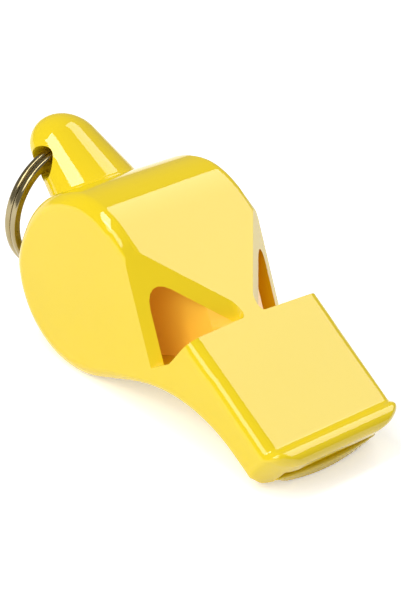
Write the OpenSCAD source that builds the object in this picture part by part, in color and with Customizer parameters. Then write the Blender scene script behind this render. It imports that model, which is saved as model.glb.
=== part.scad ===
// Pealess sports whistle: two side-by-side chambers in a round barrel, a flat
// mouthpiece with a bead along its lip, and a split ring through the lug.
// The whistle is drawn level, with its top face at z = 0 and its lip at x = 0,
// and is then laid down on its belly and its lower lip, as it rests on a table.

/* [Barrel] */
// Radius of the round barrel
barrel_r = 10.9; // [10:0.1:12]
// Width over the two flat side faces
body_w = 20; // [18:0.5:24]
// Rounding of the outer edges
edge_r = 1.6; // [0.8:0.1:1.8]
// Rounding of the edges under the mouthpiece
under_edge_r = 0.9; // [0.4:0.1:1]
// Wall over the chambers, round the barrel and under the mouthpiece
wall = 1.3; // [1:0.1:1.4]
// Wall of each side face
side_wall = 1.2; // [1:0.1:1.6]
// Rounding along the tops of the chambers
chamber_r = 2.2; // [0.8:0.1:2.4]

/* [Mouthpiece] */
// Length from the lip to the axis of the barrel
lip_to_barrel = 30; // [28:0.5:34]
// Height of the mouthpiece at the lip
mouth_h = 5; // [4.8:0.1:6]
// Length of the flat underside behind the lip
under_flat = 3; // [1:0.5:5]
// Room between the barrel and the hollow curve of the underside
waist_gap = 0.7; // [0.3:0.1:1.2]
// Radius of the bead round the lip
bead_r = 1.25; // [1:0.05:1.4]
// Height of the bead above the top face
bead_rise = 0.8; // [0.4:0.1:1]
// Distance that the bead stands out from each side face
bead_flare = 0.05; // [0.05:0.05:0.5]
// Depth of the foot of the bead below the top face
bead_foot = 4.2; // [3.8:0.1:4.8]
// Distance that the foot of the bead lies behind its top
bead_lean = 0.3; // [0:0.1:0.8]
// Distance from the lip line to the front of the upper lip
lip_reach = 1.7; // [1.2:0.1:2.1]
// Distance that the lower lip reaches past the upper one
jaw_reach = 0.7; // [0.3:0.1:1]
// Bow of the lower lip, from its middle to its ends
jaw_bow = 0.6; // [0.3:0.1:1]
// Thickness of the lower lip
jaw_h = 1.7; // [1.5:0.1:2]
// Rounding of the lower front corner of each side face
foot_r = 1.4; // [0.8:0.1:1.6]

/* [Airways] */
// Height of the mouth slot
slot_h = 1.1; // [0.9:0.1:1.3]
// Height of each windway where it opens on its window
exit_h = 0.9; // [0.7:0.1:1.1]
// Depth of each windway's roof there, below the top face
exit_roof = 1.5; // [1.2:0.1:1.7]
// Length from the front of the upper lip to the dividing wall
septum_back = 3.5; // [2:0.5:6]
// Width of the core between the two chambers
core_w = 7.8; // [6.8:0.2:8.6]
// Walls of the core
core_wall = 1.2; // [1:0.1:1.5]

/* [Windows] */
// Width of the neck between the two windows
neck_w = 2.4; // [2:0.1:4]
// Length from the lip to the rear corner of each window
window_rear = 27.6; // [25.5:0.1:28]
// Depth of the rear corner below the top face
window_rear_drop = 0.5; // [0.3:0.1:1]
// Length from the lip to the slanted face at the neck
window_tip = 17; // [16.4:0.1:18]
// Length from the lip to the lowest corner of each window
window_low = 16.5; // [16.2:0.1:17.5]
// Depth of the lowest corner below the top face
window_low_drop = 7.7; // [6.5:0.1:8.6]
// Length from the lip to the front wall of each window, at the side edge
window_front = 14.9; // [14:0.1:15.2]
// Length from the lip to the front wall of each window, at the neck
window_front_neck = 15.2; // [15:0.1:15.8]
// Length from the lip to the lower end of that front wall, at the side edge
window_front_low = 15.1; // [15:0.1:15.8]
// Depth of that lower end below the top face
window_sill_drop = 4.7; // [4:0.1:6]

/* [Lug] */
// Length from the back of the barrel to the centre of the lug's round tip
lug_reach = 5.8; // [5:0.1:9]
// Depth of the lug's middle below the top face
lug_drop = 10.2; // [9:0.1:12]
// Width of the lug at its tip
lug_tip_w = 9.4; // [8.6:0.1:10.5]
// Width of the lug at its root, inside the barrel's wall
lug_root_w = 13.2; // [11:0.1:15]
// Thickness of the lug as a share of its width
lug_flat_share = 0.66; // [0.6:0.01:0.8]
// Distance from the centre of the tip to the hole, towards the barrel
hole_inset = 0.9; // [0.4:0.1:1]
// Width of the countersink at each mouth of the hole
hole_flare = 0.4; // [0.3:0.05:0.5]

/* [Split ring] */
// Radius of the ring at the middle of its wire
ring_r = 7.6; // [7.4:0.1:9]
// Thickness of the wire along the ring's axis
wire_w = 0.72; // [0.66:0.02:0.78]
// Thickness of the wire across the ring
wire_h = 1.1; // [1:0.05:1.2]
// Gap between the two turns
turn_gap = 0.44; // [0.42:0.01:0.5]
// Distance that the ring has slipped towards the near side
ring_slip = 0.6; // [0:0.1:0.7]
// Room round the wire in the lug's hole
ring_room = 0.2; // [0.15:0.05:0.3]

/* [Hidden] */
$fn = 96;

// Clearance between the moulded pieces
fit = 0.05;
// Overrun of a cut past the face that it opens
over = 0.5;
// Colours of the pieces
shell_colour = [0.98, 0.87, 0.22];
cover_colour = [0.93, 0.79, 0.16];
core_colour = [0.88, 0.64, 0.16];
steel_colour = [0.62, 0.58, 0.46];

// Middle of the barrel in the side view
barrel_mid = [-lip_to_barrel, -barrel_r];
// Underside: an arc that meets the flat behind the lip and clears the barrel
under_span = lip_to_barrel - under_flat;
under_lift = mouth_h - barrel_r;
under_side = barrel_r + waist_gap;
under_rise = under_side - under_lift;
under_r = (pow(under_span, 2) + pow(under_lift, 2) - pow(under_side, 2)) / (2 * under_rise);
under_mid = [-under_flat, -mouth_h - under_r];
// The straight waist touches both circles, and runs into each by a hair
nick = 0.02;
mid_gap = under_mid - barrel_mid;
waist_dir = atan2(mid_gap.y, mid_gap.x) - acos((barrel_r + under_r) / norm(mid_gap));
waist_unit = [cos(waist_dir), sin(waist_dir)];
function barrel_touch(inset) = barrel_mid + (barrel_r - inset - nick) * waist_unit;
function under_touch(inset) = under_mid - (under_r + inset - nick) * waist_unit;

// Front of the lower lip, and depth of the upper lip
nose_x = lip_reach + jaw_reach;
slot_floor = mouth_h - jaw_h;
slot_roof = slot_floor - slot_h;
// Seam between the shell and the cover, below the lug
seam_dir = 212;
seam_unit = [cos(seam_dir), sin(seam_dir)];
deep = 2 * barrel_r + over;
cavity_w = body_w - 2 * side_wall;

// Bead round the lip
bead_x = nose_x - bead_r;
bead_y = body_w / 2 + bead_flare - bead_r;
bead_top = bead_rise - bead_r;
bead_low = bead_r - bead_foot;
bead_tilt = atan2(bead_lean, bead_top - bead_low);
bead_len = norm([bead_lean, bead_top - bead_low]);

// Resting pose: the line that touches the barrel and the lower lip
nose = [nose_x, -mouth_h];
nose_gap = nose - barrel_mid;
rest_tilt = atan2(nose_gap.y, nose_gap.x) + asin(barrel_r / norm(nose_gap));
function rest_x(p) = p.x * cos(rest_tilt) + p.y * sin(rest_tilt);
function rest_z(p) = p.y * cos(rest_tilt) - p.x * sin(rest_tilt);
floor_z = rest_z(barrel_mid) - barrel_r;

// Lug, its hole and the outer length of the whistle at rest
lug_tip = [-lip_to_barrel - barrel_r - lug_reach, -lug_drop];
lug_root = [-lip_to_barrel - barrel_r / 2, -lug_drop];
hole_mid = lug_tip + [hole_inset, 0];
tip_r = lug_tip_w / 2;
tip_reach = norm([tip_r * cos(rest_tilt), tip_r * lug_flat_share * sin(rest_tilt)]);
rear_x = rest_x(lug_tip) - tip_reach;
front_x = rest_x([bead_x, bead_top]) + bead_r;
mid_x = (rear_x + front_x) / 2;

// Ring: the two turns, the crossing between them and the free ends
hole_x = rest_x(hole_mid) - mid_x;
hole_z = rest_z(hole_mid) - floor_z;
turn_pitch = wire_w + turn_gap;
loop_rings = 24;
wire_sides = 6;
ring_steps = 45;
end_turn = 20;
cross_from = 342;
cross_turn = 36;
// The arc of wire in the hole is centred on the hole's axis
arc_half = tip_r - hole_flare + ring_slip;
arc_drop = ring_r - sqrt(pow(ring_r, 2) - pow(arc_half, 2));
ring_mid = [hole_x, -ring_slip, hole_z + arc_drop / 2 - ring_r];
// The hole clears the wire at every angle of the ring
arc_reach = (arc_drop + wire_h * ring_r / (ring_r - arc_drop)) / 2;
lug_hole_r = norm([turn_gap / 2 + wire_w, arc_reach]) + ring_room;
function ease(t) = t <= 0 ? 0 : t >= 1 ? 1 : t * t * (3 - 2 * t);
function wire_turn(i) = end_turn + i * 360 / loop_rings;
function wire_side(t) = turn_pitch * ease((t - cross_from) / cross_turn) - turn_pitch / 2;
function wire_point(t, k) =
  let (
    a = 360 * k / wire_sides,
    r = ring_r + wire_h / 2 * cos(a),
    s = wire_side(t) + wire_w / sqrt(3) * sin(a)
  )
  ring_mid + [s, -r * sin(t), -r * cos(t)];
wire_rings = [for (i = [0:ring_steps]) [for (k = [0:wire_sides - 1]) wire_point(wire_turn(i), k)]];
least_gap = min([
  for (i = [0:ring_steps]) for (j = [i + loop_rings / 2:1:ring_steps])
    min([for (p = wire_rings[i]) for (q = wire_rings[j]) norm(p - q)])
]);
echo(least_gap_of_ring_to_itself = least_gap);  // split_ring

// Side view of all but the round barrel, drawn in from its faces by an inset
module front_outline(inset = 0, front = lip_reach) {
  difference() {
    polygon([
      [-lip_to_barrel, -inset],
      [front, -inset],
      [front, inset - mouth_h],
      [-under_flat, inset - mouth_h],
      under_touch(inset),
      barrel_touch(inset),
      barrel_mid
    ]);
    translate(under_mid) circle(r = under_r + inset);
  }
}

// Side view of the whistle, drawn in from its faces by an inset
module side_outline(inset = 0, front = lip_reach) {
  translate(barrel_mid) circle(r = barrel_r - inset);
  front_outline(inset, front);
}

// Everything under the roofs of the windways and in front of the seam
module open_zone() {
  front = nose_x + over;
  polygon([
    barrel_mid,
    barrel_mid + deep * seam_unit,
    [-lip_to_barrel - barrel_r, -deep - barrel_r],
    [front, -deep - barrel_r],
    [front, -slot_roof],
    [lip_reach, -slot_roof],
    [-window_front, -exit_roof]
  ]);
}

// Everything in front of the seam and below the middle of the mouth slot
module cover_zone() {
  slot_mid = -slot_roof - slot_h / 2;
  polygon([
    barrel_mid,
    barrel_mid + deep * seam_unit,
    [-lip_to_barrel - barrel_r, -deep - barrel_r],
    [nose_x, -deep - barrel_r],
    [nose_x, slot_mid],
    [-window_low, slot_mid]
  ]);
}

// Side view of the space inside the shell and over the cover
module inner_outline(gap = 0, front = lip_reach) {
  intersection() {
    side_outline(wall + gap, front);
    translate([-window_front - deep * 2, -deep]) square([deep * 2, deep]);
  }
  difference() {
    polygon([
      [-window_front - over, -exit_roof - gap],
      [-window_front, -exit_roof - gap],
      [front, -slot_roof - gap],
      [front, gap - slot_floor],
      [-under_flat - gap, gap - slot_floor],
      [-under_flat - gap, wall + gap - mouth_h],
      under_touch(wall + gap)
    ]);
    translate(under_mid) circle(r = under_r + wall + gap);
  }
}

// Draws a side view as a plate of the given width across the whistle
module across(width) {
  rotate([90, 0, 0]) linear_extrude(width, center = true) children();
}

// Long bar whose two upper edges are rounded, with its top at the given depth
module rounded_bar(width, top, radius) {
  length = lip_to_barrel + nose_x;
  translate([-lip_to_barrel, 0, 0]) rotate([90, 0, 90]) linear_extrude(length) {
    translate([radius - width / 2, -deep]) square([width - 2 * radius, deep - top]);
    translate([-width / 2, -deep]) square([width, deep - top - radius]);
    for (side = [-1, 1]) translate([side * (width / 2 - radius), -top - radius]) circle(r = radius);
  }
}

// Drum across the whistle with rounded rims
module drum(drum_r, width, radius) {
  translate([barrel_mid.x, 0, barrel_mid.y]) rotate([90, 0, 0]) rotate_extrude() {
    translate([0, -width / 2]) square([drum_r - radius, width]);
    translate([0, radius - width / 2]) square([drum_r, width - 2 * radius]);
    for (side = [-1, 1]) translate([drum_r - radius, side * (width / 2 - radius)]) circle(r = radius);
  }
}

// All that lies on the side of a plane that its normal points to
module half_space(point, normal) {
  size = 2 * (lip_to_barrel + barrel_r);
  translate(point)
    rotate([0, acos(normal.z / norm(normal)), atan2(normal.y, normal.x)])
      translate([-size / 2, -size / 2, 0]) cube(size);
}

// Corners of the near window's slanted face and of its front wall
rear_corner = [-window_rear, -body_w / 2, -window_rear_drop];
tip_corner = [-window_tip, -neck_w / 2, 0];
low_corner = [-window_low, -body_w / 2, -window_low_drop];
front_corner = [-window_front, -body_w / 2, 0];
front_neck = [-window_front_neck, -neck_w / 2, 0];
front_low = [-window_front_low, -body_w / 2, -window_sill_drop];
slant_normal = cross(low_corner - rear_corner, tip_corner - rear_corner);
front_normal = cross(front_neck - front_corner, front_low - front_corner);
sill_normal = cross(front_low - low_corner, [0, 1, 0]);

// Space in front of the near window's front wall
module mouth_side() {
  half_space(front_corner, -front_normal);
}

// Cut that opens the near window
module window_cut() {
  intersection() {
    half_space(rear_corner, slant_normal);
    half_space(front_corner, front_normal);
    half_space(low_corner, sill_normal);
    translate([-lip_to_barrel, -body_w, -deep]) cube([lip_to_barrel, body_w - neck_w / 2, 2 * deep]);
  }
}

// Draws its children on both sides of the whistle
module both_sides() {
  children();
  mirror([0, 1, 0]) children();
}

// What a round edge takes off a square corner
module corner_off(radius) {
  difference() {
    translate([-radius, -radius]) square(radius + over);
    translate([-radius, -radius]) circle(r = radius);
  }
}

// Cut along one lower edge: the flat, the hollow arc and the waist, which tapers up to the rim
module under_edge_cut() {
  waist_len = norm(under_touch(0) - barrel_touch(0));
  translate([-under_flat, -body_w / 2, -mouth_h]) rotate([90, 0, 90])
    linear_extrude(under_flat + nose_x) mirror([1, 0]) mirror([0, 1]) corner_off(under_edge_r);
  translate([under_mid.x, 0, under_mid.y]) rotate([90, 0, 0]) rotate_extrude()
    translate([under_r, body_w / 2]) mirror([1, 0]) corner_off(under_edge_r);
  translate([barrel_touch(0).x, -body_w / 2, barrel_touch(0).y]) rotate([0, -waist_dir, 0])
    linear_extrude(waist_len, scale = under_edge_r / edge_r) mirror([0, 1]) corner_off(edge_r);
}

// Lays the level whistle down on its belly and its lower lip
module at_rest() {
  translate([-mid_x, 0, -floor_z]) rotate([0, rest_tilt, 0]) children();
}

// Bead that runs across the top of the lip and down both sides of it
module lip_bead() {
  translate([bead_x, 0, bead_top]) rotate([90, 0, 0]) cylinder(r = bead_r, h = 2 * bead_y, center = true);
  both_sides() translate([bead_x, -bead_y, bead_top]) {
    sphere(r = bead_r);
    rotate([0, 180 + bead_tilt, 0]) cylinder(r = bead_r, h = bead_len);
    rotate([0, 180 + bead_tilt, 0]) translate([0, 0, bead_len]) sphere(r = bead_r);
  }
}

// Flattened finger behind the barrel
module lug() {
  hull() {
    translate([lug_tip.x, 0, lug_tip.y]) scale([1, 1, lug_flat_share]) sphere(d = lug_tip_w, $fn = 32);
    translate([lug_root.x, 0, lug_root.y]) scale([1, 1, lug_flat_share]) sphere(d = lug_root_w, $fn = 32);
  }
}

// Hole through the lug, widened at its two mouths
module lug_hole() {
  hole_len = lug_root_w + over;
  translate([hole_mid.x, 0, hole_mid.y]) rotate([90, 0, 0]) {
    cylinder(r = lug_hole_r, h = hole_len, center = true);
    for (turn = [0, 180]) rotate([turn, 0, 0]) translate([0, 0, tip_r - hole_flare])
      cylinder(r1 = lug_hole_r, r2 = lug_hole_r + 2 * hole_flare, h = 2 * hole_flare);
  }
}

// Chambers: the drum inside the barrel and the room in front of it
module chamber_space() {
  drum(barrel_r - wall, cavity_w, chamber_r);
  intersection() {
    across(cavity_w) inner_outline();
    rounded_bar(cavity_w, wall, chamber_r);
  }
}

// Outer moulding: barrel, top, mouthpiece, lip bead, windows and lug
module body_shell() {
  color(shell_colour) at_rest() difference() {
    union() {
      drum(barrel_r, body_w, edge_r);
      intersection() {
        across(body_w) difference() {
          front_outline();
          translate([lip_reach, -mouth_h]) mirror([0, 1]) corner_off(foot_r);
        }
        rounded_bar(body_w, 0, edge_r);
      }
      lip_bead();
      lug();
    }
    chamber_space();
    across(cavity_w) open_zone();
    both_sides() {
      window_cut();
      under_edge_cut();
    }
    lug_hole();
  }
}

// Barrel and mouthpiece as one block of the given width, drawn in by an inset
module side_block(width, inset, front) {
  across(width) translate(barrel_mid) circle(r = barrel_r - inset);
  across(width) front_outline(inset, front);
}

// Under moulding: belly, hollow underside and lower lip, set between the side faces
module base_cover() {
  jaw_half = cavity_w / 2;
  bow_r = (pow(jaw_half, 2) + pow(jaw_bow, 2)) / (2 * jaw_bow);
  color(cover_colour) at_rest() intersection() {
    difference() {
      side_block(cavity_w - 2 * fit, 0, nose_x);
      difference() {
        side_block(cavity_w, wall, nose_x + over);
        across(body_w) translate([-under_flat, -mouth_h]) square([under_flat + nose_x + over, jaw_h]);
      }
    }
    across(cavity_w) difference() {
      cover_zone();
      translate(barrel_mid) rotate(seam_dir) translate([0, -fit]) square([deep, 2 * fit]);
    }
    translate([nose_x - bow_r, 0, -deep]) cylinder(r = bow_r, h = deep, $fn = 4 * $fn);
  }
}

// Floor of one windway with its end wall, hollow underneath
module windway_floor() {
  floor_front = -slot_floor;
  floor_rear = -exit_roof - exit_h;
  wing_w = cavity_w / 2 - fit;
  low = -window_low_drop - mouth_h;
  intersection() {
    translate([0, -wing_w / 2, 0]) across(wing_w) difference() {
      polygon([
        [-under_flat - fit, floor_front],
        [-window_front_neck, floor_rear],
        [-window_tip - under_flat, floor_rear],
        [-window_tip - under_flat, low],
        [-under_flat - fit, low]
      ]);
      translate(under_mid) circle(r = under_r + wall + fit);
      polygon([
        [-under_flat, floor_front - core_wall],
        [-window_front + core_wall, floor_rear - core_wall],
        [-window_front_low + core_wall, -window_sill_drop],
        [-window_front_low + core_wall, low],
        [-under_flat, low]
      ]);
    }
    mouth_side();
  }
}

// Side view of the space between the core's two walls, open towards the cover
module core_hollow() {
  hollow_r = barrel_r - wall - core_wall;
  translate(barrel_mid) circle(r = hollow_r);
  translate([-lip_to_barrel - hollow_r, -deep]) square([2 * hollow_r, deep - barrel_r]);
}

// Inner moulding: the walls between the chambers and the floors of the windways
module airway_core() {
  color(core_colour) at_rest() {
    difference() {
      across(core_w) inner_outline(fit, lip_reach - septum_back);
      across(core_w - 2 * core_wall) core_hollow();
      both_sides() window_cut();
    }
    both_sides() windway_floor();
  }
}

// One unbroken wire wound twice round, with a crossing between the turns
module split_ring() {
  last = ring_steps * wire_sides;
  color(steel_colour) polyhedron(
    points = [for (ring = wire_rings) for (p = ring) p],
    faces = concat(
      [[for (k = [0:wire_sides - 1]) k]],
      [
        for (i = [0:ring_steps - 1]) for (k = [0:wire_sides - 1])
          for (half = [0, 1])
            let (
              here = i * wire_sides + k,
              beside = i * wire_sides + (k + 1) % wire_sides
            )
            half == 0
              ? [here, here + wire_sides, beside]
              : [beside, here + wire_sides, beside + wire_sides]
      ],
      [[for (k = [wire_sides - 1:-1:0]) last + k]]
    )
  );
}

body_shell();
base_cover();
airway_core();
split_ring();
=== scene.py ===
"""A pealess sports whistle with its split ring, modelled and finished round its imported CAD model.

The whistle's mouldings are drawn level, in millimetres, with the top face at z = 0 and the lip
at x = 0. Each finished piece is then laid down on its belly and its lower lip, and brought to
metres.
"""

import math

import bmesh
import bpy
from bpy.props import FloatProperty, FloatVectorProperty, PointerProperty
from mathutils import Matrix, Vector


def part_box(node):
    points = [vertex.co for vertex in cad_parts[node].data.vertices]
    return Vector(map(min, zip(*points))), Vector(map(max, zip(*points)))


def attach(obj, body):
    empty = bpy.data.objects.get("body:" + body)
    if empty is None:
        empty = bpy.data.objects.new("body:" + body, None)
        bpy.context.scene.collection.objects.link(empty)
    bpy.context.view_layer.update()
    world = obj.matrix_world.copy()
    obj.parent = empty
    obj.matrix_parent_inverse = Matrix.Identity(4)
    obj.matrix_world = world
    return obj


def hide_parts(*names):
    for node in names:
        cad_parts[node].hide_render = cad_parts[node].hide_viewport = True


bl_info = {
    "name": "Sports whistle",
    "version": (1, 0, 0),
    "blender": (4, 5, 0),
    "location": "View3D > Sidebar > Whistle",
    "description": "Models a moulded sports whistle with its split ring, and its studio",
    "category": "Add Mesh",
}

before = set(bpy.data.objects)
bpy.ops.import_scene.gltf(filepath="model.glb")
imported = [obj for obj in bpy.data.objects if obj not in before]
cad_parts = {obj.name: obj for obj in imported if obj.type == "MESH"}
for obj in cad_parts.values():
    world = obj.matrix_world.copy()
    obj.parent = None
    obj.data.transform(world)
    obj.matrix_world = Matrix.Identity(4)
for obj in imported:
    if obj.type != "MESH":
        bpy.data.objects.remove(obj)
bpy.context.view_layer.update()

MM = 0.001
# Millimetres within which two places count as the same
NEAR = 1e-4
CLOSE = 1e-3
MERGE = 5e-4
# How much a cutter stays short of a face that it mustn't share
SHORT = 0.02


def length(name, description, millimetres):
    """A length property, whose default is given in millimetres"""
    return FloatProperty(
        name=name, description=description, default=millimetres * MM, unit="LENGTH", precision=5
    )


def colour(name, description, value):
    """A colour property"""
    return FloatVectorProperty(name=name, description=description, default=value, subtype="COLOR")


class WhistleSizes(bpy.types.PropertyGroup):
    """Sizes of the whistle's mouldings and of its split ring"""

    barrel_radius: length("Barrel radius", "Radius of the round barrel", 10.9)
    body_width: length("Body width", "Width over the two flat side faces", 20)
    edge_radius: length("Edge rounding", "Rounding of the barrel's rims and of the top edges", 1.6)
    under_edge_radius: length("Lower edge rounding", "Rounding of the edges under the mouthpiece", 0.9)
    wall: length("Wall", "Wall over the chambers and round the barrel", 1.4)
    side_wall: length("Side wall", "Wall of each side face", 1.2)
    chamber_radius: length("Chamber rounding", "Rounding along the tops of the chambers", 2.2)
    lip_to_barrel: length("Lip to barrel", "Length from the lip line to the barrel's axis", 30)
    mouth_height: length("Mouth height", "Height of the mouthpiece at the lip", 5)
    bead_radius: length("Bead radius", "Radius of the bead round the lip", 1.25)
    bead_rise: length("Bead rise", "Height of the bead above the top face", 0.8)
    bead_flare: length("Bead flare", "Distance that the bead stands out from each side face", 0.08)
    lip_corner: length("Lip corner", "Length of the lip's rounded corners in plan", 2.6)
    lip_corner_width: length("Lip corner width", "Width of the lip's rounded corners in plan", 4.6)
    draft: length("Draft", "Distance that each side face draws in towards the lip", 0.26)
    bead_blend: length("Bead blend", "Hollow rounding behind the bead", 0.8)
    foot_radius: length("Foot rounding", "Rounding of the lower front corner of each side", 1.8)
    lug_blend: length("Lug blend", "Hollow rounding where the lug meets the barrel", 0.12)
    ring_radius: length("Ring radius", "Radius of the split ring at the middle of its wire", 7.6)
    wire_width: length("Wire width", "Width of the flat wire along the ring's axis", 0.9)
    wire_height: length("Wire height", "Height of the flat wire across the ring", 1.1)


class WhistleColours(bpy.types.PropertyGroup):
    """Colours of the whistle's mouldings, of its split ring and of the studio floor"""

    plastic: colour("Plastic", "Colour of the mouldings", (0.93, 0.69, 0.008))
    # Painted light: the core's colour is the plastic's yellow made lighter and more orange, standing in
    # for the light that seeps through the thin walls into the chambers.
    core: colour("Core", "Colour of the inner moulding", (0.98, 0.63, 0.08))
    # Painted reflection: the ring's colour is darkened and tinted khaki, standing in for the dark studio
    # and the yellow barrel that the plated wire reflects.
    steel: colour("Steel", "Colour of the nickel-plated ring", (0.42, 0.35, 0.2))
    floor: colour("Floor", "Colour of the studio floor", (0.95, 0.95, 0.95))


# ---- Plan of the whistle, in millimetres, level


class Plan:
    """Points, directions and the resting pose that the pieces share"""

    def __init__(self, sizes):
        def size(name):
            return getattr(sizes, name) / MM

        self.barrel_r = size("barrel_radius")
        self.half_w = size("body_width") / 2
        self.edge_r = size("edge_radius")
        self.under_edge_r = size("under_edge_radius")
        self.wall = size("wall")
        self.flare = size("bead_flare")
        self.lip_corner = size("lip_corner")
        self.lip_corner_w = size("lip_corner_width")
        self.draft = size("draft")
        self.chamber_r = size("chamber_radius")
        self.mouth_h = size("mouth_height")
        self.bead_r = size("bead_radius")
        self.bead_blend = size("bead_blend")
        self.foot_r = size("foot_radius")
        self.lug_blend = size("lug_blend")
        self.ring_r = size("ring_radius")
        self.wire_w = size("wire_width")
        self.wire_h = size("wire_height")
        self.fit = 0.015
        self.cavity_half = self.half_w - size("side_wall")
        self.barrel_mid = Vector((-size("lip_to_barrel"), -self.barrel_r))
        # Mouthpiece: its flat underside, its lips, and the heights of the windways' roofs
        self.under_flat = 3.0
        self.nose_x = 2.4
        self.lip_start = -0.6
        self.jaw_h = 1.7
        self.slot_half = 7.7
        self.slot_front = 1.7
        self.slot_roof = 1.9
        self.exit_roof = 1.5
        # Direction of the seam behind the belly, and the walls between the chambers
        self.seam_dir = 212
        self.core_half = 3.9
        self.core_wall = 1.2
        self.bead_x = self.nose_x - self.bead_r
        self.bead_z = size("bead_rise") - self.bead_r
        # The underside's arc meets the flat behind the lip and clears the barrel
        under_clear = 0.7
        span = -self.barrel_mid.x - self.under_flat
        lift = self.mouth_h - self.barrel_r
        side = self.barrel_r + under_clear
        self.under_r = (span**2 + lift**2 - side**2) / (2 * (side - lift))
        self.under_mid = Vector((-self.under_flat, -self.mouth_h - self.under_r))
        gap = self.under_mid - self.barrel_mid
        self.waist_dir = math.degrees(
            math.atan2(gap.y, gap.x) - math.acos((self.barrel_r + self.under_r) / gap.length)
        )
        # Windows: corners of the near one's slanted face, of its front wall and of its sill
        self.neck_half = 1.2
        self.neck_x = -15.2
        self.window_front = -14.9
        self.front_low_x = -15.1
        self.front_low_z = -4.7
        rear = Vector((-27.6, -self.half_w, -0.5))
        tip = Vector((-17.0, -self.neck_half, 0))
        low = Vector((-16.5, -self.half_w, -7.7))
        front = Vector((self.window_front, -self.half_w, 0))
        neck = Vector((self.neck_x, -self.neck_half, 0))
        front_low = Vector((self.front_low_x, -self.half_w, self.front_low_z))
        self.slant = (rear, (low - rear).cross(tip - rear).normalized())
        self.front_wall = (front, (neck - front).cross(front_low - front).normalized())
        self.sill = (low, (front_low - low).cross(Vector((0, 1, 0))).normalized())
        # Lug and its hole
        self.lug_tip = Vector((self.barrel_mid.x - self.barrel_r - 5.8, -10.2))
        self.lug_root_x = self.barrel_mid.x - self.barrel_r / 2
        self.lug_tip_r = 4.7
        self.lug_root_r = 6.6
        self.lug_flat = 0.66
        self.hole_mid = self.lug_tip + Vector((1.05, 0.1))
        self.hole_r = 1.8
        # Resting pose: the line that touches the barrel and the lower lip
        nose = Vector((self.nose_x, -self.mouth_h)) - self.barrel_mid
        self.tilt = math.atan2(nose.y, nose.x) + math.asin(self.barrel_r / nose.length)
        tip_reach = math.hypot(
            self.lug_tip_r * math.cos(self.tilt), self.lug_tip_r * self.lug_flat * math.sin(self.tilt)
        )
        rear_x = self.rest_x(self.lug_tip) - tip_reach
        front_x = self.rest_x(Vector((self.bead_x, self.bead_z))) + self.bead_r
        self.shift = Vector(
            (-(rear_x + front_x) / 2, 0, self.barrel_r - self.rest_z(self.barrel_mid))
        )

    def rest_x(self, p):
        """Length along the resting whistle, before its shift"""
        return p.x * math.cos(self.tilt) + p.y * math.sin(self.tilt)

    def rest_z(self, p):
        """Height in the resting pose, before its shift"""
        return p.y * math.cos(self.tilt) - p.x * math.sin(self.tilt)

    def at_rest(self):
        """Turns level millimetres into the resting pose in metres"""
        return (
            Matrix.Scale(MM, 4) @ Matrix.Translation(self.shift) @ Matrix.Rotation(self.tilt, 4, "Y")
        )

    def belly(self, inset, start, end=None, steps=90):
        """Side view of the barrel from one direction, past the waist, to the flat behind the lip"""
        waist = 360 + self.waist_dir
        points = arc(self.barrel_mid, self.barrel_r - inset, start, waist, steps)
        under = arc(self.under_mid, self.under_r + inset, waist - 180, 90, 36)
        waist_end, waist_start = under[0], points[-1]
        points += [waist_start.lerp(waist_end, k / 8) for k in range(1, 8)]
        return points + (under if end is None else [p for p in under if p.x < end])


def arc(centre, radius, start, end, steps):
    """Points along an arc, both ends included, with its angles in degrees"""
    angles = [math.radians(start + (end - start) * k / steps) for k in range(steps + 1)]
    return [centre + radius * Vector((math.cos(a), math.sin(a))) for a in angles]


def smooth(t):
    """Eases from 0 to 1 while t goes from 0 to 1"""
    t = min(max(t, 0), 1)
    return t * t * (3 - 2 * t)


# ---- Modelling moves


def deselect():
    """Goes back to object mode with nothing selected"""
    if bpy.context.mode != "OBJECT":
        bpy.ops.object.mode_set(mode="OBJECT")
    bpy.ops.object.select_all(action="DESELECT")


def active(piece):
    """Selects one piece alone and makes it the active one"""
    deselect()
    piece.select_set(True)
    bpy.context.view_layer.objects.active = piece


def named(name):
    """Names the object that was just added, and its mesh"""
    piece = bpy.context.object
    piece.name = name
    piece.data.name = name
    return piece


def apply_modifier(piece, kind, **settings):
    """Adds a modifier with its settings and applies it"""
    active(piece)
    modifier = piece.modifiers.new(kind.lower(), kind)
    for key, value in settings.items():
        setattr(modifier, key, value)
    bpy.ops.object.modifier_apply(modifier=modifier.name)


def combine(piece, tool, operation):
    """Joins a tool to a piece, or cuts the piece with it, and throws the tool away"""
    apply_modifier(piece, "BOOLEAN", operation=operation, object=tool, solver="EXACT")
    mesh = tool.data
    bpy.data.objects.remove(tool)
    bpy.data.meshes.remove(mesh)


def pick(piece, test, kind="EDGE"):
    """Selects only the edges or faces that pass a test of themselves and their middle, in edit mode"""
    bpy.ops.mesh.select_mode(type=kind)
    bpy.ops.mesh.select_all(action="DESELECT")
    mesh = bmesh.from_edit_mesh(piece.data)
    for part in mesh.edges if kind == "EDGE" else mesh.faces:
        middle = sum((vert.co for vert in part.verts), Vector()) / len(part.verts)
        if test(part, middle):
            part.select_set(True)
    mesh.select_flush_mode()
    bmesh.update_edit_mesh(piece.data)


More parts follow.
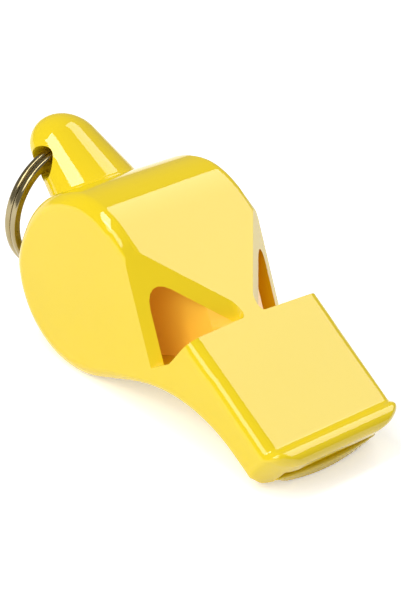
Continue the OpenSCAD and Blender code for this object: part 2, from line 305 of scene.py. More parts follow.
def trace(name, outline, half_width):
    """Draws a side view point by point, fills it and extrudes it across the whistle"""
    deselect()
    bpy.ops.mesh.primitive_plane_add(size=1)
    piece = named(name)
    bpy.ops.object.mode_set(mode="EDIT")
    bpy.ops.mesh.select_mode(type="VERT")
    bpy.ops.mesh.select_all(action="SELECT")
    bpy.ops.mesh.merge(type="CENTER")
    bpy.ops.transform.translate(value=(outline[0].x, -half_width, outline[0].y))
    for here, there in zip(outline, outline[1:]):
        step = there - here
        bpy.ops.mesh.extrude_region_move(TRANSFORM_OT_translate={"value": (step.x, 0, step.y)})
    mesh = bmesh.from_edit_mesh(piece.data)
    for vert in mesh.verts:
        vert.select_set(len(vert.link_edges) == 1)
    mesh.select_flush_mode()
    bmesh.update_edit_mesh(piece.data)
    bpy.ops.mesh.edge_face_add()
    bpy.ops.mesh.select_all(action="SELECT")
    bpy.ops.mesh.edge_face_add()
    bpy.ops.mesh.extrude_region_move(TRANSFORM_OT_translate={"value": (0, 2 * half_width, 0)})
    bpy.ops.mesh.select_all(action="SELECT")
    bpy.ops.mesh.normals_make_consistent(inside=False)
    bpy.ops.object.mode_set(mode="OBJECT")
    return piece


def drum(name, centre, radius, half_width, rounding, steps=144):
    """A disc across the whistle with rounded rims"""
    deselect()
    bpy.ops.mesh.primitive_cylinder_add(
        vertices=steps, radius=radius, depth=2 * half_width, rotation=(math.radians(90), 0, 0)
    )
    piece = named(name)
    piece.location = (centre.x, 0, centre.y)
    bpy.ops.object.transform_apply()
    if rounding:
        bpy.ops.object.mode_set(mode="EDIT")
        pick(piece, lambda e, m: abs(abs(m.y) - half_width) < NEAR)
        bpy.ops.mesh.bevel(offset=rounding, segments=6, profile=0.5, affect="EDGES")
        bpy.ops.object.mode_set(mode="OBJECT")
    return piece


def round_edges(piece, radii, segments):
    """Rounds each edge by the radius that a rule gives for its ends, or leaves it where that is 0"""
    active(piece)
    mesh = piece.data
    ends = [[mesh.vertices[i].co for i in edge.vertices] for edge in mesh.edges]
    weights = [radii(a, b) for a, b in ends]
    widest = max(weights)
    layer = mesh.attributes.new("bevel_weight_edge", "FLOAT", "EDGE")
    for item, weight in zip(layer.data, weights):
        item.value = weight / widest
    apply_modifier(
        piece, "BEVEL", width=widest, segments=segments, limit_method="WEIGHT",
        use_clamp_overlap=False, miter_outer="MITER_SHARP"
    )
    layer = piece.data.attributes.get("bevel_weight_edge")
    if layer:
        piece.data.attributes.remove(layer)


def cut_away(piece, point, normal, fill=True):
    """Cuts off all that lies on the side of a plane that its normal points to"""
    active(piece)
    bpy.ops.object.mode_set(mode="EDIT")
    bpy.ops.mesh.select_all(action="SELECT")
    bpy.ops.mesh.bisect(plane_co=point, plane_no=normal, use_fill=fill, clear_outer=True)
    bpy.ops.object.mode_set(mode="OBJECT")


def tidy(piece):
    """Merges doubles, drops loose bits and turns all faces outwards"""
    active(piece)
    bpy.ops.object.mode_set(mode="EDIT")
    bpy.ops.mesh.select_all(action="SELECT")
    bpy.ops.mesh.remove_doubles(threshold=MERGE)
    bpy.ops.mesh.dissolve_degenerate(threshold=MERGE)
    bpy.ops.mesh.delete_loose()
    bpy.ops.mesh.select_all(action="SELECT")
    bpy.ops.mesh.normals_make_consistent(inside=False)
    bpy.ops.object.mode_set(mode="OBJECT")


def shade(piece, degrees=32):
    """Smooth shading that keeps the flat faces flat and the sharp edges sharp"""
    active(piece)
    bpy.ops.object.shade_smooth_by_angle(angle=math.radians(degrees))
    apply_modifier(piece, "WEIGHTED_NORMAL", keep_sharp=True, weight=60, mode="FACE_AREA_WITH_ANGLE")


def finish_piece(piece, matrix, body, nodes, material):
    """Brings a piece to its place in metres, and gives it its finish and its CAD body"""
    active(piece)
    piece.matrix_world = matrix
    bpy.ops.object.transform_apply(location=True, rotation=True, scale=True)
    piece.data.materials.clear()
    piece.data.materials.append(material)
    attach(piece, body)
    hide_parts(*nodes)


# ---- Outer moulding


def lip_section(plan, x):
    """Top, half width, rounding, underside and its rounding in the lip's cross-section at a length"""
    r, blend = plan.bead_r, plan.bead_blend
    flare_run, least_r = 1.2, 0.1
    run = x - plan.lip_start
    start = plan.bead_x - math.sqrt((r + blend) ** 2 - (blend - plan.bead_z) ** 2)
    meet = plan.bead_x + (start - plan.bead_x) * r / (r + blend)
    if x <= start:
        top = 0
    elif x < meet:
        top = blend - math.sqrt(max(blend**2 - (x - start) ** 2, 0))
    else:
        top = plan.bead_z + math.sqrt(max(r**2 - (x - plan.bead_x) ** 2, 0))
    turn = x - (plan.nose_x - plan.lip_corner)
    half = plan.half_w + plan.flare * smooth(run / flare_run)
    if turn > 0:
        half -= plan.lip_corner_w * (1 - math.sqrt(max(1 - (turn / plan.lip_corner) ** 2, 0)))
    if x < plan.bead_x:
        rounding = plan.edge_r + (r - plan.edge_r) * smooth(run / (plan.bead_x - plan.lip_start))
    else:
        rounding = math.sqrt(max(r**2 - (x - plan.bead_x) ** 2, 0))
    rise = max(x - (plan.nose_x - plan.foot_r), 0)
    low = -plan.mouth_h + plan.foot_r - math.sqrt(max(plan.foot_r**2 - rise**2, 0))
    low_r = max(min(plan.under_edge_r, half - plan.cavity_half), least_r)
    return top, half, rounding, low, low_r


def lip_point(plan, co):
    """Where a point of the straight body's surface goes to form the lip"""
    top, half, rounding, low, low_r = lip_section(plan, co.x)
    side = 1 if co.y > 0 else -1
    if co.z > -plan.edge_r - NEAR:
        out = (abs(co.y) - plan.half_w + plan.edge_r) / plan.edge_r
        up = (co.z + plan.edge_r) / plan.edge_r
        y, z = half - rounding + rounding * out, top - rounding + rounding * up
    else:
        out = (abs(co.y) - plan.half_w + plan.under_edge_r) / plan.under_edge_r
        up = (co.z + plan.mouth_h - plan.under_edge_r) / plan.under_edge_r
        y, z = half - low_r + low_r * out, low + low_r + low_r * up
    # Below the bead, the front leans back
    lean_depth, lean_x, lean_most = 2.5, 0.3, 1.4
    share = smooth((co.x - plan.lip_start) / (plan.bead_x - plan.lip_start))
    lean = lean_x * share * min(max((plan.bead_z - z) / lean_depth, 0), lean_most)
    return Vector((co.x - lean, side * y, z))


def draw_out_lip(piece, plan):
    """Extrudes the open front of the body forward, section by section, into the beaded lip"""
    start_x, steps, front_steps = plan.lip_start, 18, 12
    stations = [start_x + (plan.bead_x - start_x) * k / steps for k in range(1, steps + 1)]
    for k in range(1, front_steps + 1):
        stations.append(plan.bead_x + plan.bead_r * math.sin(math.radians(90 / front_steps * k)))
    active(piece)
    bpy.ops.object.mode_set(mode="EDIT")
    pick(piece, lambda f, m: abs(m.x - start_x) < NEAR and abs(f.normal.x) > 0.9, "FACE")
    bpy.ops.mesh.delete(type="ONLY_FACE")
    pick(piece, lambda e, m: e.is_boundary)
    for here, there in zip([start_x] + stations, stations):
        bpy.ops.mesh.extrude_region_move(TRANSFORM_OT_translate={"value": (there - here, 0, 0)})
    bpy.ops.mesh.edge_face_add()
    mesh = bmesh.from_edit_mesh(piece.data)
    for vert in mesh.verts:
        if vert.co.x > start_x + NEAR:
            vert.co = lip_point(plan, vert.co)
    bmesh.update_edit_mesh(piece.data)
    bpy.ops.object.mode_set(mode="OBJECT")
    tidy(piece)


def draw_in(piece, plan):
    """Narrows the mouthpiece a little towards the lip, as the draft of its mould does"""
    start, ease, full_run = -18, 8, 15
    active(piece)
    bpy.ops.object.mode_set(mode="EDIT")
    for k in range(ease + 1):
        bpy.ops.mesh.select_all(action="SELECT")
        bpy.ops.mesh.bisect(plane_co=(start + k, 0, 0), plane_no=(1, 0, 0))
    mesh = bmesh.from_edit_mesh(piece.data)
    for vert in mesh.verts:
        eased = min(max(vert.co.x - start, 0), ease) ** 2 / (2 * ease)
        run = eased + max(vert.co.x - start - ease, 0)
        vert.co.y *= 1 - plan.draft / plan.half_w * run / full_run
    bmesh.update_edit_mesh(piece.data)
    bpy.ops.object.mode_set(mode="OBJECT")
    tidy(piece)


def narrow_front(piece, plan):
    """Narrows what stands between the side walls to the slot's width, inside the lip's corners"""
    start, run, steps = -1.5, 1.2, 4
    active(piece)
    bpy.ops.object.mode_set(mode="EDIT")
    for k in range(steps + 1):
        bpy.ops.mesh.select_all(action="SELECT")
        bpy.ops.mesh.bisect(plane_co=(run / steps * k + start, 0, 0), plane_no=(1, 0, 0))
    mesh = bmesh.from_edit_mesh(piece.data)
    for vert in mesh.verts:
        share = smooth((vert.co.x - start) / run)
        vert.co.y *= 1 - (1 - plan.slot_half / plan.cavity_half) * share
    bmesh.update_edit_mesh(piece.data)
    bpy.ops.object.mode_set(mode="OBJECT")


def back_drop(arm, y):
    """How far the back of the barrel is lowered round the lug, and its rims there a little more"""
    first, first_run, last, last_run = 112, 45, 222, 30
    drop, rim_drop, rim_start, rim_run = 0.3, 0.35, 6.5, 3.5
    turn = math.degrees(math.atan2(arm.y, arm.x)) % 360
    share = smooth((turn - first) / first_run) * smooth((last - turn) / last_run)
    return share * (drop + rim_drop * smooth((abs(y) - rim_start) / rim_run))


def flatten_back(piece, plan):
    """Lowers the back of the barrel a little"""
    depth = 3
    for vert in piece.data.vertices:
        arm = Vector((vert.co.x, vert.co.z)) - plan.barrel_mid
        if arm.length > plan.barrel_r - depth:
            arm *= 1 - back_drop(arm, vert.co.y) / plan.barrel_r
            vert.co.x, vert.co.z = plan.barrel_mid.x + arm.x, plan.barrel_mid.y + arm.y


def body_block(plan):
    """Barrel and mouthpiece as one rounded block with the beaded lip"""
    start_x = plan.lip_start
    outline = [Vector((start_x, 0))] + plan.belly(0, 90) + [Vector((start_x, -plan.mouth_h))]
    piece = trace("body", outline, plan.half_w)
    waist_x = plan.barrel_mid.x + plan.barrel_r * math.cos(math.radians(plan.waist_dir))
    taper = 5.0

    def radius(a, b):
        middle = (a + b) / 2
        if abs(abs(a.y) - plan.half_w) > NEAR or abs(a.y - b.y) > NEAR:
            return 0
        if abs(middle.x - start_x) < NEAR:
            return 0
        under = middle.x > waist_x and middle.z < -plan.mouth_h + CLOSE
        share = smooth((middle.x - waist_x) / taper) if under else 0
        return plan.edge_r + (plan.under_edge_r - plan.edge_r) * share

    round_edges(piece, radius, 8)
    draw_out_lip(piece, plan)
    flatten_back(piece, plan)
    return piece


def lug(plan):
    """Flattened finger behind the barrel, with a hollow rounding at its root"""
    tip_r, tip_x = plan.lug_tip_r - 0.15, plan.lug_tip.x + 0.2
    step, fine_step, sunk = 0.4, 0.12, 0.06
    deselect()
    bpy.ops.mesh.primitive_uv_sphere_add(
        segments=96, ring_count=48, radius=tip_r, rotation=(0, math.radians(90), 0)
    )
    piece = named("lug")
    bpy.ops.object.transform_apply()
    run = plan.lug_root_x - tip_x
    slope = (plan.lug_root_r - tip_r) / run
    touch = -slope * tip_r
    cut_away(piece, (touch, 0, 0), (1, 0, 0), fill=False)
    bpy.ops.object.mode_set(mode="EDIT")
    pick(piece, lambda e, m: e.is_boundary)
    rim = math.sqrt(tip_r**2 - touch**2)
    growth = slope / math.sqrt(1 - slope**2)
    stations = [touch + step * k for k in range(1, 12)]
    stations += [stations[-1] + fine_step * k for k in range(1, 31)] + [run]
    for here, there in zip([touch] + stations, stations):
        scale = (rim + growth * (there - touch)) / (rim + growth * (here - touch))
        bpy.ops.mesh.extrude_region_move(TRANSFORM_OT_translate={"value": (there - here, 0, 0)})
        bpy.ops.transform.resize(value=(1, scale, scale), center_override=(there, 0, 0))
    bpy.ops.mesh.edge_face_add()
    bpy.ops.mesh.select_all(action="SELECT")
    bpy.ops.transform.resize(value=(1, 1, plan.lug_flat), center_override=(0, 0, 0))
    bpy.ops.transform.translate(value=(tip_x, 0, plan.lug_tip.y))
    mesh = bmesh.from_edit_mesh(piece.data)
    mesh.normal_update()
    blend = plan.lug_blend
    for vert in mesh.verts:
        arm = Vector((vert.co.x, vert.co.z)) - plan.barrel_mid
        away = arm.length - plan.barrel_r + back_drop(arm, vert.co.y)
        near = min(max(blend - away - sunk, 0), blend - SHORT)
        if near > 0:
            flare = blend - math.sqrt(blend**2 - near**2)
            out = Vector((0, vert.co.y, (vert.co.z - plan.lug_tip.y) / plan.lug_flat**2)).normalized()
            vert.co += flare * out
    bmesh.update_edit_mesh(piece.data)
    bpy.ops.object.mode_set(mode="OBJECT")
    return piece


def lug_hole(plan):
    """Cutter for the lug's hole, widened at both mouths"""
    depth = 8
    flares = ((0.2, 0.02), (0.2, 0.05), (0.2, 0.08), (0.2, 0.12), (1, 0.6))
    deselect()
    bpy.ops.mesh.primitive_cylinder_add(
        vertices=96, radius=plan.hole_r, depth=depth, rotation=(math.radians(90), 0, 0)
    )
    piece = named("lug_hole")
    piece.location = (plan.hole_mid.x, 0, plan.hole_mid.y)
    bpy.ops.object.transform_apply()
    for side in (-1, 1):
        bpy.ops.object.mode_set(mode="EDIT")
        pick(piece, lambda f, m: abs(m.y - depth / 2 * side) < NEAR, "FACE")
        radius = plan.hole_r
        for reach, flare in flares:
            bpy.ops.mesh.extrude_region_move(TRANSFORM_OT_translate={"value": (0, side * reach, 0)})
            scale = (radius + flare) / radius
            bpy.ops.transform.resize(
                value=(scale, 1, scale), center_override=(plan.hole_mid.x, 0, plan.hole_mid.y)
            )
            radius += flare
        bpy.ops.object.mode_set(mode="OBJECT")
    return piece


def chamber_room(plan):
    """Cutter for the room between the drum and the windows' front walls, rounded along its top"""
    overlap, depth = 0.5, 8
    back = plan.barrel_mid.x - overlap
    long, high = plan.window_front - back, depth - plan.wall
    deselect()
    bpy.ops.mesh.primitive_cube_add(
        size=1, location=(back + long / 2, 0, -plan.wall - high / 2),
        scale=(long, 2 * plan.cavity_half - SHORT, high)
    )
    piece = named("room")
    bpy.ops.object.transform_apply()
    bpy.ops.object.mode_set(mode="EDIT")
    pick(piece, lambda e, m: abs(m.z + plan.wall) < CLOSE and abs(m.y) > plan.cavity_half - SHORT)
    bpy.ops.mesh.bevel(offset=plan.chamber_r, segments=6, profile=0.5, affect="EDGES")
    bpy.ops.object.mode_set(mode="OBJECT")
    return piece


def open_zone(plan):
    """Cutter for the windways and the open underside, in front of the seam"""
    seam = math.radians(plan.seam_dir)
    ahead, past_skin, past_back, deep = 1, 16, 12, -24
    outline = [
        Vector((plan.nose_x + ahead, -plan.slot_roof)),
        Vector((plan.slot_front, -plan.slot_roof)),
        Vector((plan.window_front, -plan.exit_roof)),
        plan.barrel_mid.copy(),
        plan.barrel_mid + past_skin * Vector((math.cos(seam), math.sin(seam))),
        Vector((plan.barrel_mid.x - past_back, deep)),
        Vector((plan.nose_x + ahead, deep)),
    ]
    piece = trace("open", outline, plan.cavity_half - SHORT)
    narrow_front(piece, plan)
    return piece


def window(plan, side):
    """Cutter for one window: a block cut back to the slanted face and the front wall"""
    open_place = Vector((-16.5, -9.5, -1))
    steep, upright = 4, 2
    deselect()
    bpy.ops.mesh.primitive_cube_add(size=1, location=(-20, -8.6, -5), scale=(22, 14.8, 22))
    piece = named("window")
    bpy.ops.object.transform_apply()
    for point, normal in (plan.slant, plan.front_wall, plan.sill):
        inside = (open_place - point).dot(normal)
        cut_away(piece, point, -normal if inside > 0 else normal)
    neck = -plan.neck_half

    def radius(a, b):
        at_neck = abs(a.y - neck) < CLOSE and abs(b.y - neck) < CLOSE
        if not at_neck or abs(a.z - b.z) < steep:
            return 0
        return 0.8 if abs(a.x - b.x) < upright else 0.5

    round_edges(piece, radius, 6)
    if side > 0:
        bpy.ops.transform.mirror(constraint_axis=(False, True, False), center_override=(0, 0, 0))
        bpy.ops.object.transform_apply()
        tidy(piece)
    return piece


def outer_moulding(plan):
    """Barrel, top, beaded mouthpiece and lug, hollowed, opened by its windows and by its underside"""
    piece = body_block(plan)
    combine(piece, lug(plan), "UNION")
    combine(piece, drum("chamber", plan.barrel_mid, plan.barrel_r - plan.wall, plan.cavity_half,
                        plan.chamber_r), "DIFFERENCE")
    combine(piece, chamber_room(plan), "DIFFERENCE")
    combine(piece, open_zone(plan), "DIFFERENCE")
    for side in (-1, 1):
        combine(piece, window(plan, side), "DIFFERENCE")
    combine(piece, lug_hole(plan), "DIFFERENCE")
    tidy(piece)
    return piece


# ---- Under moulding


def under_moulding(plan):
    """Belly, hollow underside and bowed lower lip, set between the side faces"""
    half = plan.cavity_half - plan.fit
    shelf = -plan.mouth_h + plan.jaw_h
    seam_gap, slices = 0.3, 10
    # The lower lip's bow at its bottom and its share at the top, how far its middle stands out,
    # how far its ends rise and over what share of its half width, and its roundings, the last
    # one for the edges up its front that are over a height
    bow, top_share, stand_out = 1.1, 0.4, 0.3
    end_rise, end_share = 0.8, 0.25
    top_round, low_round, face_round, tall = 0.35, 0.5, 0.6, 0.9
    outer = plan.belly(0, plan.seam_dir + seam_gap, steps=50)
    inner = plan.belly(plan.wall, plan.seam_dir + seam_gap, steps=50)
    nose = [Vector((plan.nose_x, -plan.mouth_h)), Vector((plan.nose_x, shelf))]
    outline = outer + nose + [Vector((-plan.under_flat, shelf))] + inner[::-1]
    piece = trace("under", outline, half)
    active(piece)
    bpy.ops.object.mode_set(mode="EDIT")
    for k in range(1 - slices, slices):
        bpy.ops.mesh.select_all(action="SELECT")
        bpy.ops.mesh.bisect(plane_co=(0, k * half / slices, 0), plane_no=(0, 1, 0))
    mesh = bmesh.from_edit_mesh(piece.data)
    bow_r = (plan.cavity_half**2 + bow**2) / (2 * bow)
    for vert in mesh.verts:
        if vert.co.x > plan.nose_x - CLOSE:
            share = (shelf - vert.co.z) / plan.jaw_h
            set_back = bow_r - math.sqrt(bow_r**2 - vert.co.y**2)
            vert.co.x += stand_out * share - set_back * (top_share + (1 - top_share) * share)
            end = smooth((abs(vert.co.y) / half - (1 - end_share)) / end_share)
            vert.co.z += end_rise * share * end
    bmesh.update_edit_mesh(piece.data)
    narrow_front(piece, plan)

    def radius(a, b):
        across = abs(a.y - b.y) > CLOSE
        if min(a.x, b.x) <= 1:
            return 0
        if across and max(abs(a.z - shelf), abs(b.z - shelf)) < CLOSE:
            return top_round
        if across and max(a.z, b.z) < -plan.mouth_h + tall:
            return low_round
        return face_round if abs(a.z - b.z) > tall else 0

    round_edges(piece, radius, 4)
    tidy(piece)
    return piece


# ---- Inner moulding


def inner_moulding(plan):
    """Walls between the two chambers, and the floors of the windways with their end walls"""
    fit, wall, half = plan.fit, plan.core_wall, plan.cavity_half - plan.fit
    behind_slot, exit_h, room_gap = 3.5, 0.9, 0.04
    back, floor_low, room_front, room_low, low = -20, -13.3, -2.5, -14, -26
    shelf = -plan.mouth_h + plan.jaw_h
    front = plan.slot_front - behind_slot
    roof = -plan.wall - fit
    outline = [
        Vector((plan.window_front, roof)),
        *plan.belly(plan.wall + fit, 90, end=-plan.under_flat - fit),
        Vector((-plan.under_flat - fit, shelf + fit)),
        Vector((front, shelf + fit)),
        Vector((front, -plan.slot_roof - fit)),
        Vector((plan.window_front, -plan.exit_roof - fit)),
    ]
    piece = trace("core", outline, plan.core_half)
    hollow_r = plan.barrel_r - plan.wall - wall
    hollow = [
        Vector((plan.barrel_mid.x + hollow_r, low)),
        *arc(plan.barrel_mid, hollow_r, 0, 180, 60),
        Vector((plan.barrel_mid.x - hollow_r, low)),
    ]
    combine(piece, trace("hollow", hollow, plan.core_half - wall), "DIFFERENCE")
    for side in (-1, 1):
        combine(piece, window(plan, side), "DIFFERENCE")
    exit_floor = -plan.exit_roof - exit_h
    floor = [
        Vector((-plan.under_flat - fit, shelf)),
        Vector((plan.neck_x, exit_floor)),
        Vector((back, exit_floor)),
        Vector((back, floor_low)),
        Vector((-plan.under_flat - fit, floor_low)),
    ]
    floors = trace("floors", floor, half)
    tool = drum("under_space", plan.under_mid, plan.under_r + plan.wall + fit, half + 1, 0, 288)
    combine(floors, tool, "DIFFERENCE")
    room = [
        Vector((room_front, shelf - wall + room_gap)),
        Vector((plan.window_front + wall, exit_floor - wall)),
        Vector((plan.front_low_x + wall, plan.front_low_z)),
        Vector((plan.front_low_x + wall, room_low)),
        Vector((room_front, room_low)),
    ]
    combine(floors, trace("room", room, half + 1), "DIFFERENCE")
    point, normal = plan.front_wall
    ahead = normal if normal.x < 0 else -normal
    wings = []
    for side in (-1, 1):
        active(floors)
        bpy.ops.object.duplicate()
        wing = bpy.context.object
        mirrored = Vector((ahead.x, -side * ahead.y, ahead.z))
        cut_away(wing, (point.x, -side * point.y, point.z), mirrored)
        cut_away(wing, (0, 0, 0), (0, -side, 0))
        wings.append(wing)
    bpy.data.objects.remove(floors)
    for wing in wings:
        combine(piece, wing, "UNION")
    tidy(piece)
    return piece


# ---- Split ring


def split_ring(plan, middle):
    """Flat wire wound twice, with the crossing and the two free ends beside it"""
    steps, start, sweep = 330, 20, 675
    gap, corner, crossing, crossing_run = 0.07, 0.34, 342, 36
    pitch = plan.wire_w + gap
    deselect()
    bpy.ops.mesh.primitive_plane_add(size=1, rotation=(math.radians(90), 0, 0))
    piece = named("ring")
    bpy.ops.transform.resize(value=(plan.wire_w, 1, plan.wire_h))
    bpy.ops.object.transform_apply()
    bpy.ops.object.mode_set(mode="EDIT")
    bpy.ops.mesh.select_all(action="SELECT")
    bpy.ops.mesh.bevel(offset=corner, segments=5, profile=0.5, affect="VERTICES")
    for _ in range(steps):
        bpy.ops.mesh.extrude_region_move(TRANSFORM_OT_translate={"value": (0, 1, 0)})
    mesh = bmesh.from_edit_mesh(piece.data)
    for vert in mesh.verts:
        t = start + sweep * vert.co.y / steps
        side = pitch * (smooth((t - crossing) / crossing_run) - 0.5)
        turn, radius = math.radians(t), plan.ring_r + vert.co.z
        arm = Vector((vert.co.x + side, -radius * math.sin(turn), -radius * math.cos(turn)))
        vert.co = middle + arm
    bmesh.update_edit_mesh(piece.data)
    bpy.ops.object.mode_set(mode="OBJECT")
    tidy(piece)
    return piece


# ---- Materials


def socket(group, name, kind, way, value=None):
    """Adds a socket to a node group, with its default value if it has one"""
    new = group.interface.new_socket(name=name, in_out=way, socket_type=kind)
    if value is not None:
        new.default_value = value


def surface_variation():
    """Node group: slow and fine variation over a surface, from object coordinates"""
    group = bpy.data.node_groups.new("Surface variation", "ShaderNodeTree")
    socket(group, "Vector", "NodeSocketVector", "INPUT")
    socket(group, "Broad scale", "NodeSocketFloat", "INPUT", 60.0)
    socket(group, "Fine scale", "NodeSocketFloat", "INPUT", 900.0)
    socket(group, "Broad", "NodeSocketFloat", "OUTPUT")
    socket(group, "Fine", "NodeSocketFloat", "OUTPUT")
    nodes, links = group.nodes, group.links
    enter, leave = nodes.new("NodeGroupInput"), nodes.new("NodeGroupOutput")
    for name, detail in (("Broad", 2.0), ("Fine", 3.0)):
        noise = nodes.new("ShaderNodeTexNoise")
        noise.inputs["Detail"].default_value = detail
        links.new(enter.outputs["Vector"], noise.inputs["Vector"])
        links.new(enter.outputs[f"{name} scale"], noise.inputs["Scale"])
        links.new(noise.outputs["Fac"], leave.inputs[name])
    return group


class Finish:
    """A material being wired: a Principled shader fed by nodes"""

    def __init__(self, name):
        self.material = bpy.data.materials.new(name)
        self.material.use_nodes = True
        self.nodes = self.material.node_tree.nodes
        self.links = self.material.node_tree.links
        self.shader = self.nodes["Principled BSDF"]
        self.place = self.nodes.new("ShaderNodeTexCoord").outputs["Object"]

    def node(self, kind, inputs=None, **settings):
        """Adds a node, and sets or links its inputs"""
        new = self.nodes.new(kind)
        for key, value in settings.items():
            setattr(new, key, value)
        for key, value in (inputs or {}).items():
            if isinstance(value, bpy.types.NodeSocket):
                self.links.new(value, new.inputs[key])
            else:
                new.inputs[key].default_value = value
        return new

    def set(self, **inputs):
        """Sets or links inputs of the Principled shader"""
        for key, value in inputs.items():
            name = key.replace("_", " ")
            if isinstance(value, bpy.types.NodeSocket):
                self.links.new(value, self.shader.inputs[name])
            else:
                self.shader.inputs[name].default_value = value

    def variation(self, vector, broad, fine):
        """Places the shared node group with its own two scales"""
        group = bpy.data.node_groups.get("Surface variation") or surface_variation()
        new = self.node("ShaderNodeGroup", node_tree=group)
        self.links.new(vector, new.inputs["Vector"])
        new.inputs["Broad scale"].default_value = broad
        new.inputs["Fine scale"].default_value = fine
        return new

    def between(self, value, low, high):
        """Spreads the middle of a noise over a range"""
        noise_low, noise_high = 0.3, 0.7
        new = self.node("ShaderNodeMapRange", {"Value": value, "To Min": low, "To Max": high})
        new.inputs["From Min"].default_value = noise_low
        new.inputs["From Max"].default_value = noise_high
        return new.outputs["Result"]

    def mix(self, factor, first, second):
        """Goes from one colour to another with a factor"""
        new = self.node("ShaderNodeMix", data_type="RGBA")
        self.links.new(factor, new.inputs["Factor"])
        for name, value in (("A", first), ("B", second)):
            item = [i for i in new.inputs if i.name == name and i.type == "RGBA"][0]
            item.default_value = (*value, 1)
        return [o for o in new.outputs if o.type == "RGBA"][0]

    def bump(self, height, strength, distance):
        """Turns a height into a normal"""
        inputs = {"Height": height, "Strength": strength, "Distance": distance}
        return self.node("ShaderNodeBump", inputs).outputs["Normal"]


def tinted(colour, tint):
    """A colour with each of its channels scaled"""
    return tuple(c * t for c, t in zip(colour, tint))


def moulded_plastic(name, colour, glow=0):
    """Glossy moulded plastic, with a faint flow in its colour and a faint ripple in its gloss.

    The glow stands in for the light that seeps through the thin walls to a piece inside.
    """
    finish = Finish(name)
    spread = finish.variation(finish.place, 70, 700)
    deep = tinted(colour, (0.985, 0.975, 0.8))
    finish.set(
        Base_Color=finish.mix(finish.between(spread.outputs["Broad"], 0, 1), deep, colour),
        Roughness=finish.between(spread.outputs["Fine"], 0.035, 0.06),
        Normal=finish.bump(spread.outputs["Fine"], 0.1, 0.00002),
        IOR=1.6,
        Emission_Color=(0.95, 0.42, 0.03, 1),
        Emission_Strength=glow,
    )
    return finish.material


def nickel_plate(name, colour, middle):
    """Nickel-plated wire, with fine drawing marks that run along the ring"""
    finish = Finish(name)
    centred = finish.node(
        "ShaderNodeVectorMath", {0: finish.place, 1: tuple(middle)}, operation="SUBTRACT"
    )
    parts = finish.node("ShaderNodeSeparateXYZ", {"Vector": centred.outputs["Vector"]})
    flat = finish.node("ShaderNodeCombineXYZ", {"Y": parts.outputs["Y"], "Z": parts.outputs["Z"]})
    away = finish.node("ShaderNodeVectorMath", {0: flat.outputs["Vector"]}, operation="LENGTH")
    along = finish.node("ShaderNodeCombineXYZ", {"X": parts.outputs["X"], "Y": away.outputs["Value"]})
    marks = finish.variation(along.outputs["Vector"], 3000, 9000)
    cloud = finish.variation(finish.place, 250, 1200)
    worn = tinted(colour, (0.75, 0.72, 0.6))
    finish.set(
        # The given base colour already carries the painted reflection; the cloud only varies its tone at
        # random.
        Base_Color=finish.mix(finish.between(cloud.outputs["Broad"], 0, 1), colour, worn),
        Metallic=1,
        Roughness=finish.between(marks.outputs["Broad"], 0.12, 0.22),
        Normal=finish.bump(marks.outputs["Fine"], 0.12, 0.00002),
    )
    return finish.material


def studio_floor(colour):
    """Pale floor that turns white to the camera and in reflections, and keeps the whistle's shadow"""
    finish = Finish("studio_floor")
    lift = 0.42
    grain = finish.variation(finish.place, 3, 90)
    tone = tinted(colour, (0.99, 0.99, 0.99))
    path = finish.node("ShaderNodeLightPath").outputs
    seen = path["Is Camera Ray"]
    for ray in ("Is Glossy Ray", "Is Transmission Ray"):
        seen = finish.node("ShaderNodeMath", {0: seen, 1: path[ray]}, operation="MAXIMUM").outputs[0]
    lifted = finish.node("ShaderNodeMath", {0: seen, 1: lift}, operation="MULTIPLY")
    finish.set(
        Base_Color=finish.mix(finish.between(grain.outputs["Broad"], 0, 1), tone, colour),
        Roughness=0.7,
        Emission_Color=(1, 1, 1, 1),
        Emission_Strength=lifted.outputs[0],
    )
    return finish.material


# ---- Stage


def soft_light(name, azimuth, elevation, width, height, radiance, roll=0):
    """A soft box that looks at the whistle, with its width and height as angles, in degrees.

    Azimuth 0 is in front (-Y), and 90 is towards +X.
    """
    distance, aim = 0.6, Vector((0, 0, 0.012))
    az, el = math.radians(azimuth), math.radians(elevation)
    way = Vector((math.sin(az) * math.cos(el), -math.cos(az) * math.cos(el), math.sin(el)))
    deselect()
    bpy.ops.object.light_add(type="AREA", location=way * distance + aim)
    light = bpy.context.object
    light.name = name
    turn = way.to_track_quat("Z", "Y").to_matrix() @ Matrix.Rotation(math.radians(roll), 3, "Z")
    light.rotation_euler = turn.to_euler()
    light.data.shape = "RECTANGLE"
    light.data.size = 2 * distance * math.tan(math.radians(width / 2))
    light.data.size_y = 2 * distance * math.tan(math.radians(height / 2))
    light.data.energy = radiance * math.pi * light.data.size * light.data.size_y


# ---- Operators


def plan_now(context):
    """The plan that follows from the scene's sizes"""
    return Plan(context.scene.whistle_sizes)


def ring_middle():
    """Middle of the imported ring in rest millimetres, so that the wire passes through the lug's hole"""
    low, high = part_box("split_ring")
    return Vector(((low.x + high.x) / 2, (low.y + high.y) / 2, (low.z + high.z) / 2)) / MM


def finish_moulding(piece, plan, name, node, material):
    """Names a moulding, gives it its draft and shading, and puts it in place on the whistle's body"""
    piece.name = name
    draw_in(piece, plan)
    shade(piece)
    finish_piece(piece, plan.at_rest(), "whistle", [node], material)


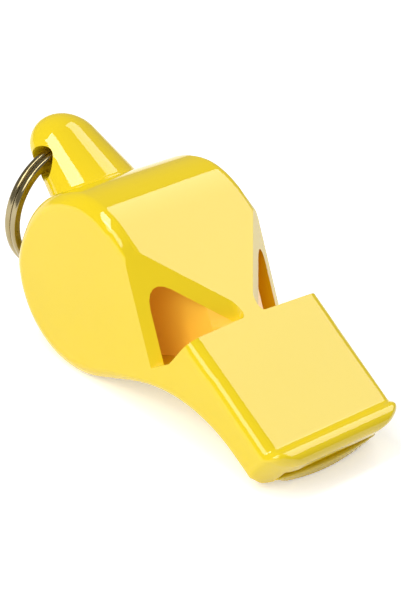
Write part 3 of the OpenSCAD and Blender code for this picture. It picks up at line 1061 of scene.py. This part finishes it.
class WHISTLE_OT_studio(bpy.types.Operator):
    """Set up the camera, the floor and the soft lights"""

    bl_idname = "whistle.studio"
    bl_label = "Studio"

    def execute(self, context):
        focal_px, picture_px, sensor = 2188.698, 601, 36
        deselect()
        bpy.ops.object.camera_add()
        camera = context.object
        camera.name = "photo_camera"
        right = Vector((0.67644267, 0.7309138, 0.0905004))
        down = Vector((0.41566116, -0.27743625, -0.86617257))
        view = Vector((-0.6079894, 0.6235336, -0.49148219))
        turn = Matrix((right, -down, -view)).transposed().to_4x4()
        camera.matrix_world = Matrix.Translation((0.1506503, -0.1519398, 0.1304769)) @ turn
        camera.data.sensor_width = sensor
        camera.data.lens = focal_px / picture_px * sensor
        camera.data.clip_start = 0.01
        camera.data.clip_end = 20
        context.scene.camera = camera
        deselect()
        bpy.ops.mesh.primitive_grid_add(x_subdivisions=8, y_subdivisions=8, size=6)
        floor = named("studio_floor")
        floor.data.materials.append(studio_floor(context.scene.whistle_colours.floor))
        world = bpy.data.worlds.new("studio")
        world.use_nodes = True
        sky = world.node_tree.nodes["Background"].inputs
        sky["Color"].default_value = (1, 1, 1, 1)
        sky["Strength"].default_value = 0.28
        context.scene.world = world
        context.scene.view_settings.view_transform = "Standard"
        soft_light("top_box", 180, 46.4, 44, 20, 3.0, 21.7)
        soft_light("key_strip", -21.3, 60.3, 15, 42, 6.6, 18.7)
        soft_light("front_box", 12, 38, 44, 24, 3.6)
        return {"FINISHED"}


class WHISTLE_OT_outer_moulding(bpy.types.Operator):
    """Model the outer moulding with its windows, its beaded lip and its lug"""

    bl_idname = "whistle.outer_moulding"
    bl_label = "Outer moulding"

    def execute(self, context):
        plan, slot = plan_now(context), "shell_plastic"
        piece = outer_moulding(plan)
        material = moulded_plastic(slot, tuple(context.scene.whistle_colours.plastic))
        finish_moulding(piece, plan, "whistle_shell", "body_shell", material)
        return {"FINISHED"}


class WHISTLE_OT_under_moulding(bpy.types.Operator):
    """Model the belly with the lower lip"""

    bl_idname = "whistle.under_moulding"
    bl_label = "Under moulding"

    def execute(self, context):
        plan, slot = plan_now(context), "cover_plastic"
        piece = under_moulding(plan)
        material = moulded_plastic(slot, tuple(context.scene.whistle_colours.plastic))
        finish_moulding(piece, plan, "whistle_cover", "base_cover", material)
        return {"FINISHED"}


class WHISTLE_OT_inner_moulding(bpy.types.Operator):
    """Model the walls between the chambers and the floors of the windways"""

    bl_idname = "whistle.inner_moulding"
    bl_label = "Inner moulding"

    def execute(self, context):
        plan, slot = plan_now(context), "core_plastic"
        piece = inner_moulding(plan)
        # The core's orange colour and its glow are both painted light, for the light that seeps through
        # the walls.
        material = moulded_plastic(slot, tuple(context.scene.whistle_colours.core), glow=0.17)
        finish_moulding(piece, plan, "whistle_core", "airway_core", material)
        return {"FINISHED"}


class WHISTLE_OT_split_ring(bpy.types.Operator):
    """Model the split ring in the lug's hole"""

    bl_idname = "whistle.split_ring"
    bl_label = "Split ring"

    def execute(self, context):
        plan = plan_now(context)
        middle = ring_middle()
        piece = split_ring(plan, middle)
        piece.name = "whistle_ring"
        shade(piece)
        material = nickel_plate("ring_steel", tuple(context.scene.whistle_colours.steel), middle * MM)
        finish_piece(piece, Matrix.Scale(MM, 4), "ring", ["split_ring"], material)
        return {"FINISHED"}


class WHISTLE_PT_panel(bpy.types.Panel):
    """Sizes, colours and steps of the whistle"""

    bl_idname = "WHISTLE_PT_panel"
    bl_label = "Sports whistle"
    bl_space_type = "VIEW_3D"
    bl_region_type = "UI"
    bl_category = "Whistle"

    def draw(self, context):
        for group in (context.scene.whistle_sizes, context.scene.whistle_colours):
            column = self.layout.column(align=True)
            for name in group.__annotations__:
                column.prop(group, name)
        for step in STEPS:
            self.layout.operator(step.bl_idname)


STEPS = (
    WHISTLE_OT_studio,
    WHISTLE_OT_outer_moulding,
    WHISTLE_OT_under_moulding,
    WHISTLE_OT_inner_moulding,
    WHISTLE_OT_split_ring,
)
CLASSES = (WhistleSizes, WhistleColours, *STEPS, WHISTLE_PT_panel)


def register():
    """Registers the classes and puts the sizes and colours on the scene"""
    for item in CLASSES:
        bpy.utils.register_class(item)
    bpy.types.Scene.whistle_sizes = PointerProperty(type=WhistleSizes)
    bpy.types.Scene.whistle_colours = PointerProperty(type=WhistleColours)


def unregister():
    """Takes away what register added"""
    del bpy.types.Scene.whistle_colours
    del bpy.types.Scene.whistle_sizes
    for item in reversed(CLASSES):
        bpy.utils.unregister_class(item)


def main():
    """Builds the whistle and its studio"""
    register()
    bpy.ops.whistle.studio()
    bpy.ops.whistle.outer_moulding()
    bpy.ops.whistle.under_moulding()
    bpy.ops.whistle.inner_moulding()
    bpy.ops.whistle.split_ring()


if __name__ == "__main__":
    main()
